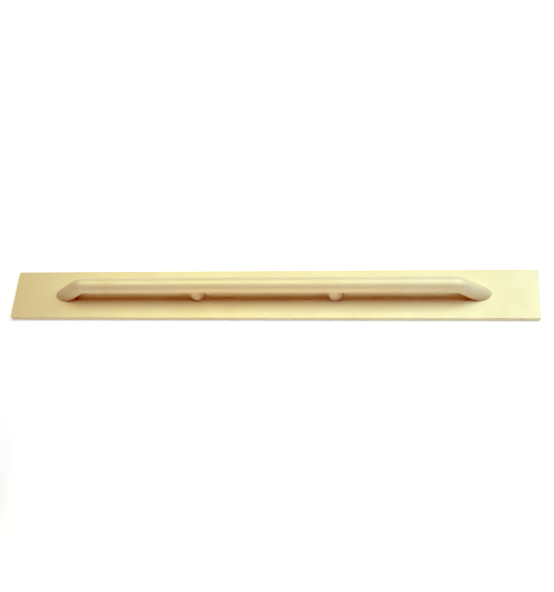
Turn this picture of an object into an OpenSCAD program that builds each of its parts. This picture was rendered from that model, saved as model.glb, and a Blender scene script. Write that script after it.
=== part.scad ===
// Darby-style magnesium float. A long hollow blade carries a full-length tubular rail, which stands
// on two bent end legs and two posts. All four feet are screwed down from the working face.
// The blade runs along X, the working face is z = 0, and the centre of that face is the origin.

/* [Blade] */
// Length of the blade
blade_length = 1000; // [800:10:1300]
// Width of the blade
blade_width = 100; // [80:1:130]
// Thickness of the blade
blade_thickness = 10; // [8:0.5:14]
// Radius along the blade's long edges
edge_radius = 1; // [0.5:0.1:1.5]
// Radius of the blade's corners, seen from above
corner_radius = 3; // [1:0.5:3]
// Solid strip down the middle, which the screws go through
spine_width = 36; // [30:1:44]
// Metal above the hollow chambers
top_skin = 2.2; // [1.5:0.1:3]
// Metal below the hollow chambers, thicker because the working face wears
face_skin = 2.5; // [2:0.1:3]
// Metal between the outer chamber and the long edge
side_wall = 3; // [3:0.5:5]
// Web between two chambers
web_thickness = 2; // [1.5:0.5:3]
// Chambers on each side of the spine
chambers_per_side = 2; // [1:1:3]
// How far the end plugs reach into the chambers
end_plug_length = 15; // [8:1:30]

/* [Handle] */
// Outer diameter of the rail, legs and posts
tube_diameter = 30; // [24:1:40]
// Wall of the rail's tube
tube_wall = 2; // [1.5:0.5:3]
// Clear height between the blade and the rail, for the fingers
finger_gap = 22.5; // [18:0.5:35]
// From the end of the blade to the tip of the leg's foot
foot_setback = 85; // [40:1:140]
// Slope of the legs from the horizontal
leg_angle = 45; // [40:1:60]
// Radius of the bend at the top of a leg, along its centre line
bend_radius = 24; // [22:1:40]
// Length of the leg's spigot inside the rail
spigot_length = 25; // [15:1:40]
// Radial clearance of the spigot in the rail, and of an end plug in its chamber
slip_clearance = 0.05; // [0.02:0.01:0.15]
// Distance between the centres of the two posts
post_spacing = 262; // [120:1:400]

/* [Welds] */
// Depth of the groove that the weld between rail and leg fills
seam_weld_depth = 1; // [0.5:0.1:1.2]
// Width of the weld between rail and leg
seam_weld_width = 3; // [2:0.5:4]
// Height of the dressed weld above the tube
seam_weld_crown = 0.1; // [0.05:0.05:0.3]
// Leg length of the fillet weld between a post and the rail
post_weld_leg = 1.5; // [1:0.1:2.5]
// Height below the rail's axis at which the fillet weld runs out
post_weld_stop = 7; // [5:0.5:9]

/* [Screws] */
// Thread diameter
screw_diameter = 8; // [6:1:8]
// Length of thread held in the insert
thread_engagement = 10; // [8:0.5:10]
// Free depth of the foot's hole past the screw's tip
tip_room = 2; // [1:0.5:3]
// Outer diameter of the threaded insert
insert_diameter = 12; // [10:0.5:13]
// Diameter of the countersunk head
head_diameter = 16; // [12:0.5:16]
// Straight rim of the head, above its cone
head_rim = 0.6; // [0.3:0.1:0.8]
// Depth of the head below the working face
head_recess = 0.2; // [0.1:0.1:0.5]
// Width of the hexagon socket, across its flats
socket_width = 5; // [4:1:5]
// Depth of the hexagon socket
socket_depth = 3; // [2:0.5:3]
// Radial clearance of the screw's shank in the blade
shank_clearance = 0.4; // [0.2:0.1:0.6]
// Radial clearance of the head's rim in its recess
rim_clearance = 0.2; // [0.1:0.1:0.4]
// Radial clearance between the screw's thread and the insert, and round the insert
thread_clearance = 0.03; // [0.01:0.01:0.05]

/* [Hidden] */
$fn = 96;

left = -1;
right = 1;

coat = [0.93, 0.88, 0.70];
screw_steel = [0.60, 0.62, 0.65];
insert_steel = [0.50, 0.52, 0.55];
plug_plastic = [0.80, 0.76, 0.64];

// Handle: the rail's axis, where a leg's straight axis meets the blade and the rail's axis, and
// where the rail ends and the bend begins
tube_r = tube_diameter / 2;
bore_r = tube_r - tube_wall;
rail_z = blade_thickness + finger_gap + tube_r;
leg_rise = rail_z - blade_thickness;
foot_x = blade_length / 2 - foot_setback - tube_r / sin(leg_angle);
corner_x = foot_x - leg_rise / tan(leg_angle);
seam_x = corner_x - bend_radius * tan(leg_angle / 2);
post_x = post_spacing / 2;

// Length that a rod or a hole runs past the plane that trims it
overrun = 2 * tube_diameter;

// Screws: a leg's screw stands inwards of the foot's middle, to stay inside the sloping leg
leg_screw_x = foot_x - thread_engagement / (2 * tan(leg_angle));
screw_length = blade_thickness - head_recess + thread_engagement;
shank_r = screw_diameter / 2;
head_r = head_diameter / 2;
insert_r = insert_diameter / 2;
tip_chamfer = screw_diameter / 8;

// Chambers: equal cells between the spine and the side wall
chamber_height = blade_thickness - top_skin - face_skin;
chamber_band = blade_width / 2 - side_wall - spine_width / 2;
chamber_width = (chamber_band - (chambers_per_side - 1) * web_thickness) / chambers_per_side;

// ---- shared shapes ----

module on_side(side) {
    mirror([side == left ? 1 : 0, 0, 0]) children();
}

module rounded_rectangle(x, y, r) {
    square([x - 2 * r, y], center = true);
    square([x, y - 2 * r], center = true);
    for (sx = [-1, 1], sy = [-1, 1]) {
        translate([sx * (x / 2 - r), sy * (y / 2 - r)]) circle(r = r);
    }
}

// The chambers of one end or of the whole blade, each made smaller all round by gap
module chambers(length, gap) {
    for (side = [left, right], i = [0 : chambers_per_side - 1]) {
        inner_edge = spine_width / 2 + i * (chamber_width + web_thickness);
        centre_y = side * (inner_edge + chamber_width / 2);
        translate([0, centre_y, face_skin + chamber_height / 2]) {
            cube([length, chamber_width - 2 * gap, chamber_height - 2 * gap], center = true);
        }
    }
}

// A rod along the rail's axis, from one seam to the other
module rail_rod(r) {
    translate([0, 0, rail_z]) rotate([0, 90, 0]) cylinder(h = 2 * seam_x, r = r, center = true);
}

// A rod along the rail's axis, centred on the right-hand seam
module seam_rod(r, length) {
    translate([seam_x, 0, rail_z]) rotate([0, 90, 0]) cylinder(h = length, r = r, center = true);
}

// A rod up the right-hand post, which stops short of the rail's axis by a given height
module post_rod(r, stop) {
    translate([post_x, 0, blade_thickness]) cylinder(h = leg_rise - stop, r = r);
}

// The ring round the right-hand seam that the weld fills, from its root up to a given radius
module seam_ring(top_r) {
    difference() {
        seam_rod(top_r, seam_weld_width);
        seam_rod(tube_r - seam_weld_depth, 2 * seam_weld_width);
    }
}

// The stepped hole up into a foot: wide for the insert, narrow for the screw's tip
module insert_socket(x) {
    translate([x, 0, blade_thickness - overrun]) {
        cylinder(h = overrun + thread_engagement, r = insert_r + thread_clearance);
        cylinder(h = overrun + thread_engagement + tip_room, r = shank_r + thread_clearance);
    }
}

// ---- blade ----

module screw_hole(x) {
    cone_base_z = head_recess + head_rim;
    hole_r = shank_r + shank_clearance;
    translate([x, 0, 0]) {
        translate([0, 0, -overrun]) cylinder(h = blade_thickness + 2 * overrun, r = hole_r);
        translate([0, 0, -overrun]) cylinder(h = overrun + cone_base_z, r = head_r + rim_clearance);
        translate([0, 0, cone_base_z]) cylinder(h = head_r - hole_r, r1 = head_r, r2 = hole_r);
    }
}

module blade() {
    color(coat) difference() {
        intersection() {
            rotate([90, 0, 90]) linear_extrude(height = blade_length, center = true) {
                translate([0, blade_thickness / 2]) {
                    rounded_rectangle(blade_width, blade_thickness, edge_radius);
                }
            }
            linear_extrude(height = blade_thickness) {
                rounded_rectangle(blade_length, blade_width, corner_radius);
            }
        }
        chambers(blade_length + overrun, 0);
        for (side = [left, right], x = [leg_screw_x, post_x]) {
            screw_hole(side * x);
        }
    }
}

module end_plugs(side) {
    centre_x = side * (blade_length - end_plug_length) / 2;
    color(plug_plastic) translate([centre_x, 0, 0]) chambers(end_plug_length, slip_clearance);
}

// ---- handle ----

module rail() {
    color(coat) difference() {
        rail_rod(tube_r);
        rail_rod(bore_r);
        for (side = [left, right]) {
            on_side(side) seam_ring(tube_r + tube_wall);
        }
    }
}

// A solid casting: a spigot inside the rail, the bend, and the sloping leg, which is cut off level
// on top of the blade
module leg(side) {
    slope_length = leg_rise / sin(leg_angle) + overrun;
    color(coat) on_side(side) difference() {
        union() {
            translate([seam_x - spigot_length, 0, rail_z]) rotate([0, 90, 0]) {
                cylinder(h = spigot_length + tube_wall, r = bore_r - slip_clearance);
            }
            translate([seam_x, 0, rail_z - bend_radius]) rotate([90, leg_angle - 90, 0]) {
                rotate_extrude(angle = leg_angle) translate([bend_radius, 0]) circle(r = tube_r);
            }
            translate([seam_x, 0, rail_z - bend_radius]) rotate([0, leg_angle, 0]) {
                translate([0, 0, bend_radius]) rotate([0, 90, 0]) cylinder(h = slope_length, r = tube_r);
            }
        }
        translate([foot_x - overrun, -overrun, blade_thickness - 4 * overrun]) {
            cube([4 * overrun, 2 * overrun, 4 * overrun]);
        }
        insert_socket(leg_screw_x);
        seam_ring(tube_r + tube_wall);
    }
}

module post(side) {
    color(coat) on_side(side) difference() {
        post_rod(tube_r, 0);
        rail_rod(tube_r);
        insert_socket(post_x);
    }
}

// ---- welds ----

module seam_weld(side) {
    color(coat) on_side(side) seam_ring(tube_r + seam_weld_crown);
}

// One bead on each side of a post, in the corner under the rail. The corner opens out towards the
// front and the back, where post and rail are flush, and the beads stop short of that
module post_weld(side) {
    color(coat) on_side(side) difference() {
        intersection() {
            post_rod(tube_r + post_weld_leg, post_weld_stop);
            rail_rod(tube_r + post_weld_leg);
        }
        post_rod(tube_r, 0);
        rail_rod(tube_r);
    }
}

// ---- fasteners ----

module insert(side, x) {
    color(insert_steel) translate([side * x, 0, blade_thickness]) difference() {
        cylinder(h = thread_engagement, r = insert_r);
        translate([0, 0, -overrun]) {
            cylinder(h = thread_engagement + 2 * overrun, r = shank_r + thread_clearance);
        }
    }
}

module screw(side, x) {
    socket_r = socket_width / 2 / cos(30);
    cone_height = head_r - shank_r;
    color(screw_steel) translate([side * x, 0, head_recess]) difference() {
        rotate_extrude() polygon([
            [0, 0],
            [head_r, 0],
            [head_r, head_rim],
            [shank_r, head_rim + cone_height],
            [shank_r, screw_length - tip_chamfer],
            [shank_r - tip_chamfer, screw_length],
            [0, screw_length]
        ]);
        translate([0, 0, -overrun]) cylinder(h = overrun + socket_depth, r = socket_r, $fn = 6);
    }
}

blade();
end_plugs(left);  // left_end_plugs
end_plugs(right);  // right_end_plugs
rail();
leg(left);  // left_leg
leg(right);  // right_leg
post(left);  // left_post
post(right);  // right_post
seam_weld(left);  // left_seam_weld
seam_weld(right);  // right_seam_weld
post_weld(left);  // left_post_weld
post_weld(right);  // right_post_weld
insert(left, leg_screw_x);  // left_leg_insert
insert(left, post_x);  // left_post_insert
insert(right, post_x);  // right_post_insert
insert(right, leg_screw_x);  // right_leg_insert
screw(left, leg_screw_x);  // left_leg_screw
screw(left, post_x);  // left_post_screw
screw(right, post_x);  // right_post_screw
screw(right, leg_screw_x);  // right_leg_screw
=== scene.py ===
import math

import bpy
from mathutils import Matrix, Vector


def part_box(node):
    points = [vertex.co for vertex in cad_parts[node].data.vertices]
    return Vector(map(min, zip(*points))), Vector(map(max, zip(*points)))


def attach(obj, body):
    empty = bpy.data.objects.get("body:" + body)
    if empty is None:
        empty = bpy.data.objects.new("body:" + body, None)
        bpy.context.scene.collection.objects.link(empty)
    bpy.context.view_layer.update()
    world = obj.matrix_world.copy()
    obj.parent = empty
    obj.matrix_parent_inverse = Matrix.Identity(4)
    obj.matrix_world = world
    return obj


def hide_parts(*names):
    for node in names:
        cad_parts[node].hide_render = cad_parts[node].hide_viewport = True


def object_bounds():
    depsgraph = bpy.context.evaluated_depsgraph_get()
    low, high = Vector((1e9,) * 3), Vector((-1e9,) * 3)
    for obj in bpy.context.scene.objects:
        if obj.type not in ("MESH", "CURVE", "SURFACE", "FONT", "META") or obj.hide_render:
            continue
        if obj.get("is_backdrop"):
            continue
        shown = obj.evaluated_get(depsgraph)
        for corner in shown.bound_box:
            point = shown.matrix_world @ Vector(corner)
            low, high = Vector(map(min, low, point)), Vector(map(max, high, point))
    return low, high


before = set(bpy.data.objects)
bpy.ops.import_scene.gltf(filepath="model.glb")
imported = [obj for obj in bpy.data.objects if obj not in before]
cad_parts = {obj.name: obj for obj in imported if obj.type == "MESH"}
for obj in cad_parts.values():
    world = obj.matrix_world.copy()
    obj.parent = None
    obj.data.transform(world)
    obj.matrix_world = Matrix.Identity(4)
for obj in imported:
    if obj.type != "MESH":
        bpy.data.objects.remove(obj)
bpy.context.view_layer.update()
scene = bpy.context.scene
scene.view_settings.view_transform = "Standard"

# A warm, contrasty print: red stays up in the shadows, and green and blue fall to black first
scene.view_settings.use_curve_mapping = True
scene.view_settings.curve_mapping.black_level = (-0.06, 0.08, 0.03)

# Places and sizes that everything below is worked out from, in metres
blade_low, blade_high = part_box("blade")
rail_low, rail_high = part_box("rail")
post_low, post_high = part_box("right_post")
blade_top = blade_high.z
blade_length = blade_high.x - blade_low.x
tube_r = (rail_high.y - rail_low.y) / 2
rail_z = rail_high.z - tube_r
post_x = (post_low.x + post_high.x) / 2


# ---- camera ----

def place_camera(azimuth, elevation, roll, distance, aim, lens):
    """Looks at aim from the given angles, in degrees. Azimuth 0 looks along +Y."""
    a, e, r = (math.radians(x) for x in (azimuth, elevation, roll))
    back = Vector((math.sin(a) * math.cos(e), -math.cos(a) * math.cos(e), math.sin(e)))
    right = (-back).cross(Vector((0, 0, 1))).normalized()
    up = back.cross(right)
    x_axis = math.cos(r) * right + math.sin(r) * up
    y_axis = -math.sin(r) * right + math.cos(r) * up
    data = bpy.data.cameras.new("camera")
    data.lens = lens
    camera = bpy.data.objects.new("camera", data)
    scene.collection.objects.link(camera)
    turn = Matrix((x_axis, y_axis, back)).transposed().to_4x4()
    camera.matrix_world = Matrix.Translation(aim + back * distance) @ turn
    scene.camera = camera


place_camera(
    azimuth=19.8, elevation=61.7, roll=-17.7, distance=1.817 * blade_length,
    aim=Vector((0.021, -0.004, blade_top)), lens=58.9,
)


# ---- node trees ----

class Paint:
    """One material's node tree, with short calls for the nodes that the materials here share."""

    def __init__(self, name):
        self.material = bpy.data.materials.new(name)
        self.material.use_nodes = True
        self.nodes = self.material.node_tree.nodes
        self.links = self.material.node_tree.links
        self.shader = self.nodes["Principled BSDF"]
        self.place = self.nodes.new("ShaderNodeTexCoord").outputs["Object"]

    def feed(self, value, socket):
        """Sets a socket to a number or a vector, or links it to another socket."""
        if isinstance(value, bpy.types.NodeSocket):
            self.links.new(value, socket)
        else:
            socket.default_value = value

    def tint(self, colour, socket):
        """Sets a colour socket to a triple, or links it to another socket."""
        self.feed(colour if isinstance(colour, bpy.types.NodeSocket) else (*colour, 1), socket)

    def parts(self, vector):
        """The X, Y and Z of a vector."""
        split = self.nodes.new("ShaderNodeSeparateXYZ")
        self.links.new(vector, split.inputs[0])
        return split.outputs

    def noise(self, size, detail=2.0, stretch=(1, 1, 1), start=None):
        """Noise from 0 to 1 whose blotches are about size across, in metres."""
        mapping = self.nodes.new("ShaderNodeMapping")
        self.links.new(start or self.place, mapping.inputs["Vector"])
        mapping.inputs["Scale"].default_value = stretch
        texture = self.nodes.new("ShaderNodeTexNoise")
        self.links.new(mapping.outputs["Vector"], texture.inputs["Vector"])
        texture.inputs["Scale"].default_value = 1 / size
        texture.inputs["Detail"].default_value = detail
        return texture.outputs["Fac"]

    def math(self, operation, first, second=0.0):
        node = self.nodes.new("ShaderNodeMath")
        node.operation = operation
        self.feed(first, node.inputs[0])
        self.feed(second, node.inputs[1])
        return node.outputs["Value"]

    def fit(self, value, old_low, old_high, new_low=0.0, new_high=1.0):
        """Maps one range onto another, with the ends held."""
        node = self.nodes.new("ShaderNodeMapRange")
        self.feed(value, node.inputs["Value"])
        limits = (old_low, old_high, new_low, new_high)
        for label, limit in zip(("From Min", "From Max", "To Min", "To Max"), limits):
            node.inputs[label].default_value = limit
        return node.outputs["Result"]

    def blend(self, amount, first, second):
        """Mixes two colours, each a triple or a socket."""
        node = self.nodes.new("ShaderNodeMix")
        node.data_type = "RGBA"
        self.feed(amount, node.inputs[0])
        for colour, socket in ((first, node.inputs[6]), (second, node.inputs[7])):
            self.tint(colour, socket)
        return node.outputs[2]

    def bump(self, height, depth, strength=1.0, under=None):
        """Raises the surface by depth, in metres, where height is 1."""
        node = self.nodes.new("ShaderNodeBump")
        node.inputs["Strength"].default_value = strength
        node.inputs["Distance"].default_value = depth
        self.links.new(height, node.inputs["Height"])
        if under:
            self.links.new(under, node.inputs["Normal"])
        return node.outputs["Normal"]

    def edges(self, radius):
        """1 along sharp edges and 0 away from them."""
        bevel = self.nodes.new("ShaderNodeBevel")
        bevel.samples = 4
        bevel.inputs["Radius"].default_value = radius
        flat = self.nodes.new("ShaderNodeNewGeometry").outputs["Normal"]
        dot = self.nodes.new("ShaderNodeVectorMath")
        dot.operation = "DOT_PRODUCT"
        self.links.new(bevel.outputs["Normal"], dot.inputs[0])
        self.links.new(flat, dot.inputs[1])
        return self.fit(dot.outputs["Value"], 0.995, 0.90)

    def downward(self):
        """1 where the surface faces straight down, and 0 elsewhere."""
        normal = self.parts(self.nodes.new("ShaderNodeNewGeometry").outputs["Normal"])
        return self.fit(normal["Z"], -0.90, -0.99)

    def distance_from(self, centre):
        """Distance from the upright axis through centre, in metres."""
        offset = self.nodes.new("ShaderNodeVectorMath")
        offset.operation = "SUBTRACT"
        self.links.new(self.place, offset.inputs[0])
        offset.inputs[1].default_value = centre
        flat = self.nodes.new("ShaderNodeVectorMath")
        flat.operation = "MULTIPLY"
        self.links.new(offset.outputs["Vector"], flat.inputs[0])
        flat.inputs[1].default_value = (1, 1, 0)
        length = self.nodes.new("ShaderNodeVectorMath")
        length.operation = "LENGTH"
        self.links.new(flat.outputs["Vector"], length.inputs[0])
        return length.outputs["Value"]

    def glow(self, colour):
        """Lights the surface from within. The colour is a triple or a socket."""
        self.tint(colour, self.shader.inputs["Emission Color"])
        self.shader.inputs["Emission Strength"].default_value = 1.0

    def finish(self, colour, roughness, normal):
        self.links.new(colour, self.shader.inputs["Base Color"])
        self.links.new(roughness, self.shader.inputs["Roughness"])
        self.links.new(normal, self.shader.inputs["Normal"])
        return self.material


# ---- light and floor ----

# Half the width of the room that the blade lies in the middle of, in metres
ROOM_HALF = 8.0
# Glow of the floor under and round the blade, and in front of its middle
NEAR_GLOW = (0.40, 0.43, 0.50)
FRONT_GLOW = (1.7, 1.15, 0.8)
# Glow that the picture shows as pure white
WHITE_GLOW = (1.3, 1.3, 1.3)


def softbox(name, place, aim, size, power, colour):
    """A rectangular light that faces aim. Its first side lies along X, and its second across it.
    The camera doesn't see it."""
    data = bpy.data.lights.new(name, "AREA")
    data.shape = "RECTANGLE"
    data.size, data.size_y = size
    data.energy = power
    data.color = colour
    light = bpy.data.objects.new(name, data)
    scene.collection.objects.link(light)
    z_axis = (Vector(place) - Vector(aim)).normalized()
    y_axis = z_axis.cross(Vector((1, 0, 0))).normalized()
    x_axis = y_axis.cross(z_axis)
    turn = Matrix((x_axis, y_axis, z_axis)).transposed().to_4x4()
    light.matrix_world = Matrix.Translation(place) @ turn
    light.visible_camera = False


def make_floor():
    """A pale shooting table, lit from within. It glows more strongly and warmer in front of the middle
    of the blade, which lifts the rail's underside. Far away it glows white up to the backdrop."""
    half = ROOM_HALF
    corners = [(-half, -half, 0), (half, -half, 0), (half, half, 0), (-half, half, 0)]
    mesh = bpy.data.meshes.new("floor")
    mesh.from_pydata(corners, [], [(0, 1, 2, 3)])
    floor = bpy.data.objects.new("floor", mesh)
    floor.location.z = -0.0003
    scene.collection.objects.link(floor)
    paint = Paint("floor")
    paint.tint((0.9, 0.9, 0.9), paint.shader.inputs["Base Color"])
    paint.shader.inputs["Roughness"].default_value = 0.9
    place = paint.parts(paint.place)
    front_edge = blade_low.y
    in_front = paint.fit(place["Y"], front_edge - 0.03, front_edge - 0.10)
    off_centre = paint.math("ABSOLUTE", place["X"])
    near_middle = paint.fit(off_centre, 0.45 * blade_length, 0.20 * blade_length)
    colour = paint.blend(paint.math("MULTIPLY", in_front, near_middle), NEAR_GLOW, FRONT_GLOW)
    far_away = paint.fit(paint.distance_from((0, 0, 0)), 0.6 * blade_length, 1.2 * blade_length)
    paint.glow(paint.blend(far_away, colour, WHITE_GLOW))
    mesh.materials.append(paint.material)
    floor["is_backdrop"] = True


def make_backdrop():
    """White walls at the floor's edge. Only the camera sees them, so they light nothing."""
    bpy.ops.mesh.primitive_cube_add(size=2 * ROOM_HALF)
    backdrop = bpy.context.object
    backdrop.name = "backdrop"
    backdrop.visible_diffuse = False
    backdrop.visible_glossy = False
    backdrop.visible_transmission = False
    backdrop.visible_shadow = False
    paint = Paint("backdrop")
    paint.glow(WHITE_GLOW)
    backdrop.data.materials.append(paint.material)
    backdrop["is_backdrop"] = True


world = bpy.data.worlds.new("studio")
world.use_nodes = True
world.node_tree.nodes["Background"].inputs["Color"].default_value = (1, 0.62, 0.38, 1)
world.node_tree.nodes["Background"].inputs["Strength"].default_value = 0.05
scene.world = world
softbox("cool_key", (0.80, 0.25, 1.05), (0.42, 0, 0), (1.0, 0.78), 11.3, (0.87, 1.01, 1.14))
softbox("warm_key", (-0.34, 0.25, 1.1), (-0.32, 0, 0), (0.9, 0.78), 8.3, (0.96, 0.91, 0.66))
make_floor()
make_backdrop()


# ---- materials ----

STRAW = (0.84, 0.775, 0.46)
PALE_STRAW = (0.87, 0.82, 0.53)
DEEP_STRAW = (0.80, 0.70, 0.38)
# Paler straw for sharp edges: rubbed coat, and a painted highlight along the edges
EDGE_RUB_AND_HIGHLIGHT_STRAW = (0.90, 0.88, 0.70)
BARE_MAGNESIUM = (0.62, 0.61, 0.58)
ZINC = (0.66, 0.67, 0.70)
STAINLESS = (0.55, 0.55, 0.56)
PLUG_STRAW = (0.62, 0.55, 0.34)
MM = 0.001


def coat_material(name, drawn, peel):
    """Satin straw coat. drawn is the strength of the lines along X that an extruded or drawn piece
    has under its coat, and peel is the depth of the coat's orange peel."""
    paint = Paint(name)
    cloudy = paint.fit(paint.noise(90 * MM, 4), 0.35, 0.65)
    speckle = paint.fit(paint.noise(2.5 * MM, 3), 0.3, 0.7)
    colour = paint.blend(cloudy, STRAW, PALE_STRAW)
    colour = paint.blend(paint.math("MULTIPLY", speckle, 0.22), colour, DEEP_STRAW)
    lines = paint.noise(1.2 * MM, 3, stretch=(0.006, 1, 1))
    colour = paint.blend(paint.math("MULTIPLY", lines, 0.25 * drawn), colour, DEEP_STRAW)
    # Paler along every sharp edge: partly rubbed wear of the coat, partly a painted edge highlight
    edge_rub_and_highlight = paint.math("MULTIPLY", paint.edges(0.9 * MM), paint.fit(paint.noise(14 * MM, 5), 0.40, 0.60))
    colour = paint.blend(paint.math("MULTIPLY", edge_rub_and_highlight, 0.6), colour, EDGE_RUB_AND_HIGHLIGHT_STRAW)
    roughness = paint.fit(paint.noise(35 * MM, 5), 0.3, 0.7, 0.47, 0.57)
    fine = paint.noise(1.3 * MM, 2)
    normal = paint.bump(fine, peel, 0.5)
    normal = paint.bump(lines, 0.05 * MM, max(0.01, 0.6 * drawn), under=normal)
    paint.shader.inputs["Metallic"].default_value = 0.2
    return paint, colour, roughness, normal


def plain_coat(name, drawn, peel):
    paint, colour, roughness, normal = coat_material(name, drawn, peel)
    return paint.finish(colour, roughness, normal)


def blade_material():
    """The straw coat, scuffed through to bare magnesium in long streaks on the working face."""
    paint, colour, roughness, normal = coat_material("blade_coat", drawn=1.0, peel=0.03 * MM)
    streaks = paint.fit(paint.noise(3 * MM, 6, stretch=(0.02, 1, 1)), 0.52, 0.72)
    patches = paint.fit(paint.noise(120 * MM, 3), 0.35, 0.65, 0.15, 0.9)
    worn = paint.math("MULTIPLY", paint.math("MULTIPLY", streaks, patches), paint.downward())
    colour = paint.blend(worn, colour, BARE_MAGNESIUM)
    scratches = paint.noise(0.5 * MM, 4, stretch=(0.01, 1, 1))
    lower = paint.math("MULTIPLY", scratches, paint.downward())
    normal = paint.bump(lower, 0.04 * MM, 0.5, under=normal)
    return paint.finish(colour, roughness, normal)


def weld_material():
    """The same coat over a weld that was dressed with a flap wheel: fine marks round the rail."""
    paint, colour, roughness, normal = coat_material("weld_coat", drawn=0.0, peel=0.03 * MM)
    marks = paint.noise(0.5 * MM, 4, stretch=(1, 0.05, 0.05))
    normal = paint.bump(marks, 0.04 * MM, 0.6, under=normal)
    return paint.finish(colour, roughness, normal)


def turned_steel(name, centre, colour, pitch, marks):
    """Steel turned on the upright axis through centre: rings on its flat faces, a pitch apart."""
    paint = Paint(name)
    paint.shader.inputs["Metallic"].default_value = 1.0
    turns = paint.math("MULTIPLY", paint.distance_from(centre), 2 * math.pi / pitch)
    rings = paint.fit(paint.math("SINE", turns), -1, 1)
    stains = paint.fit(paint.noise(4 * MM, 4), 0.35, 0.7)
    darker = tuple(0.72 * c for c in colour)
    tint = paint.blend(paint.math("MULTIPLY", stains, 0.6), colour, darker)
    roughness = paint.fit(paint.noise(1.5 * MM, 3), 0.3, 0.7, 0.24, 0.42)
    grain = paint.noise(0.4 * MM, 2)
    normal = paint.bump(rings, marks, 0.5, under=paint.bump(grain, 0.01 * MM, 0.4))
    return paint.finish(tint, roughness, normal)


def plug_material():
    """Matt moulded plastic with a fine spark-eroded grain."""
    paint = Paint("plug_plastic")
    flow = paint.fit(paint.noise(9 * MM, 4), 0.35, 0.65)
    darker = tuple(0.85 * c for c in PLUG_STRAW)
    colour = paint.blend(flow, PLUG_STRAW, darker)
    roughness = paint.fit(paint.noise(0.8 * MM, 2), 0.3, 0.7, 0.55, 0.70)
    normal = paint.bump(paint.noise(0.35 * MM, 3), 0.03 * MM, 0.7)
    return paint.finish(colour, roughness, normal)


def give(node, material):
    node.data.materials.clear()
    node.data.materials.append(material)


tube_coat = plain_coat("drawn_coat", drawn=0.7, peel=0.03 * MM)
cast_coat = plain_coat("cast_coat", drawn=0.0, peel=0.05 * MM)
weld_coat = weld_material()
plastic = plug_material()
give(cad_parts["blade"], blade_material())
give(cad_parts["rail"], tube_coat)
for side in ("left", "right"):
    for part in ("leg", "post"):
        give(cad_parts[f"{side}_{part}"], cast_coat)
        for fastener, colour, pitch in (("screw", ZINC, 0.35 * MM), ("insert", STAINLESS, 0.5 * MM)):
            name = f"{side}_{part}_{fastener}"
            low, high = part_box(name)
            give(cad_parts[name], turned_steel(name, (low + high) / 2, colour, pitch, 0.02 * MM))
    give(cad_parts[f"{side}_seam_weld"], weld_coat)
    give(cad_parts[f"{side}_post_weld"], weld_coat)
    give(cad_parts[f"{side}_end_plugs"], plastic)


# ---- weld beads round the posts ----

def bead_points(centre_x, facing, ripple):
    """Rings of a bead in the corner between a post and the rail, on the side that faces +X or -X.
    The bead's middle line is the curve where the two tubes meet, and each ring is one step along it."""
    reach = math.radians(62)
    steps = 180
    sides = 14
    radius = 1.5 * MM
    rings = []
    for i in range(steps + 1):
        t = 2 * i / steps - 1
        turn = t * reach
        middle = Vector((centre_x + facing * tube_r * math.cos(turn), tube_r * math.sin(turn), 0))
        middle.z = rail_z - tube_r * math.cos(turn)
        outward = Vector((facing * math.cos(turn), math.sin(turn), 0))
        along = Vector((-facing * math.sin(turn), math.cos(turn), math.sin(turn))).normalized()
        first = (outward - outward.dot(along) * along).normalized()
        second = along.cross(first)
        taper = math.sqrt(max(0.0, 1 - abs(t) ** 6))
        crest = abs(math.sin(math.pi * ripple * t))
        size = radius * (0.10 + 0.90 * taper) * (0.86 + 0.14 * crest)
        rings.append([
            middle + size * (math.cos(a) * first + math.sin(a) * second)
            for a in (2 * math.pi * k / sides for k in range(sides))
        ])
    return rings


def bead_mesh(vertices, faces, rings):
    """Adds one closed bead, with a flat cap at each end, to the lists of vertices and faces."""
    base = len(vertices)
    sides = len(rings[0])
    for ring in rings:
        vertices.extend(ring)
    for i in range(len(rings) - 1):
        for k in range(sides):
            a = base + i * sides + k
            b = base + i * sides + (k + 1) % sides
            faces.append((a, b, b + sides, a + sides))
    last = base + (len(rings) - 1) * sides
    faces.append(tuple(base + k for k in reversed(range(sides))))
    faces.append(tuple(last + k for k in range(sides)))


def post_bead(side, centre_x):
    """Both beads of one post, in place of its plain CAD weld."""
    vertices, faces = [], []
    for facing in (-1, 1):
        bead_mesh(vertices, faces, bead_points(centre_x, facing, ripple=11))
    mesh = bpy.data.meshes.new(f"{side}_post_bead")
    mesh.from_pydata(vertices, [], faces)
    mesh.polygons.foreach_set("use_smooth", [True] * len(mesh.polygons))
    mesh.materials.append(weld_coat)
    bead = bpy.data.objects.new(f"{side}_post_bead", mesh)
    scene.collection.objects.link(bead)
    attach(bead, "root")
    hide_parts(f"{side}_post_weld")


post_bead("left", -post_x)
post_bead("right", post_x)


# ---- bounds of the shown objects ----

low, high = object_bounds()
